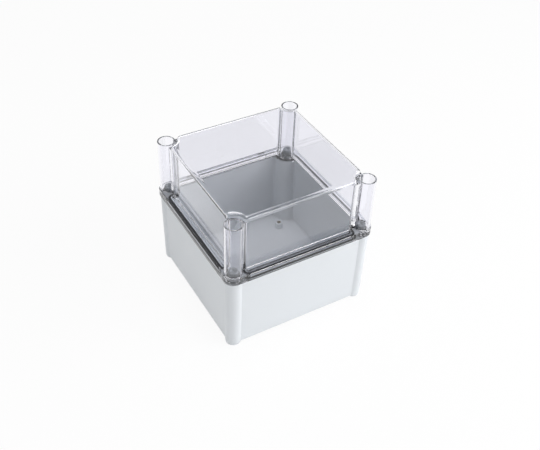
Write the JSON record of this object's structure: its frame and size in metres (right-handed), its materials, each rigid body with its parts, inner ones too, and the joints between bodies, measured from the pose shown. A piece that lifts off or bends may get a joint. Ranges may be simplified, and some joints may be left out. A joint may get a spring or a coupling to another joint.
{
  "type": "wall-mounting enclosure",
  "caption": "Square wall-mounting polycarbonate enclosure: grey base, tall clear cover, gasket, and captive cover screws at the bottom of open corner tubes.",
  "frame": {"origin": "centre of the outline, on the plane the four feet stand on, which lies against the wall in use", "axes": "+Z from the wall out through the cover; +X and +Y along the sides, -Y is the front side and the two recesses of the flange are on the +Y side"},
  "size_m": [0.19, 0.19, 0.18],
  "materials": {
    "grey_polycarbonate": "light grey polycarbonate with a fine satin moulded surface",
    "clear_polycarbonate": "clear polycarbonate, polished mould surface",
    "gasket_foam": "black foamed polyurethane with a smooth skin",
    "screw_polyamide": "mid grey moulded polyamide",
    "washer_rubber": "dark grey rubber",
    "insert_brass": "turned brass"
  },
  "bodies": {
    "base": {"base": "grey_polycarbonate", "plate_insert_front_left": "insert_brass", "plate_insert_front_right": "insert_brass", "plate_insert_back_left": "insert_brass", "plate_insert_back_right": "insert_brass"},
    "cover": {"cover": "clear_polycarbonate", "cover_gasket": "gasket_foam"},
    "washer_front_left": {"screw_washer_front_left": "washer_rubber"},
    "screw_front_left": {"cover_screw_front_left": "screw_polyamide"},
    "washer_front_right": {"screw_washer_front_right": "washer_rubber"},
    "screw_front_right": {"cover_screw_front_right": "screw_polyamide"},
    "washer_back_left": {"screw_washer_back_left": "washer_rubber"},
    "screw_back_left": {"cover_screw_back_left": "screw_polyamide"},
    "washer_back_right": {"screw_washer_back_right": "washer_rubber"},
    "screw_back_right": {"cover_screw_back_right": "screw_polyamide"}
  },
  "joints": [
    {"name": "cover_lift", "type": "slide", "parent": "base", "child": "cover", "axis": [0, 0, 1], "range_m": [0, 0.06]},
    {"name": "washer_rise_front_left", "type": "slide", "parent": "cover", "child": "washer_front_left", "axis": [0, 0, 1], "range_m": [0, 0.012]},
    {"name": "screw_turn_front_left", "type": "hinge", "parent": "washer_front_left", "child": "screw_front_left", "pos_m": [-0.083, -0.083, 0.1065], "axis": [0, 0, 1], "range_deg": [0, 1080]},
    {"name": "washer_rise_front_right", "type": "slide", "parent": "cover", "child": "washer_front_right", "axis": [0, 0, 1], "range_m": [0, 0.012]},
    {"name": "screw_turn_front_right", "type": "hinge", "parent": "washer_front_right", "child": "screw_front_right", "pos_m": [0.083, -0.083, 0.1065], "axis": [0, 0, 1], "range_deg": [0, 1080]},
    {"name": "washer_rise_back_left", "type": "slide", "parent": "cover", "child": "washer_back_left", "axis": [0, 0, 1], "range_m": [0, 0.012]},
    {"name": "screw_turn_back_left", "type": "hinge", "parent": "washer_back_left", "child": "screw_back_left", "pos_m": [-0.083, 0.083, 0.1065], "axis": [0, 0, 1], "range_deg": [0, 1080]},
    {"name": "washer_rise_back_right", "type": "slide", "parent": "cover", "child": "washer_back_right", "axis": [0, 0, 1], "range_m": [0, 0.012]},
    {"name": "screw_turn_back_right", "type": "hinge", "parent": "washer_back_right", "child": "screw_back_right", "pos_m": [0.083, 0.083, 0.1065], "axis": [0, 0, 1], "range_deg": [0, 1080]}
  ],
  "couplings": [
    {"joint": "screw_turn_front_left", "follows": "washer_rise_front_left", "rad_per_m": 1570.8},
    {"joint": "screw_turn_front_right", "follows": "washer_rise_front_right", "rad_per_m": 1570.8},
    {"joint": "screw_turn_back_left", "follows": "washer_rise_back_left", "rad_per_m": 1570.8},
    {"joint": "screw_turn_back_right", "follows": "washer_rise_back_right", "rad_per_m": 1570.8}
  ]
}
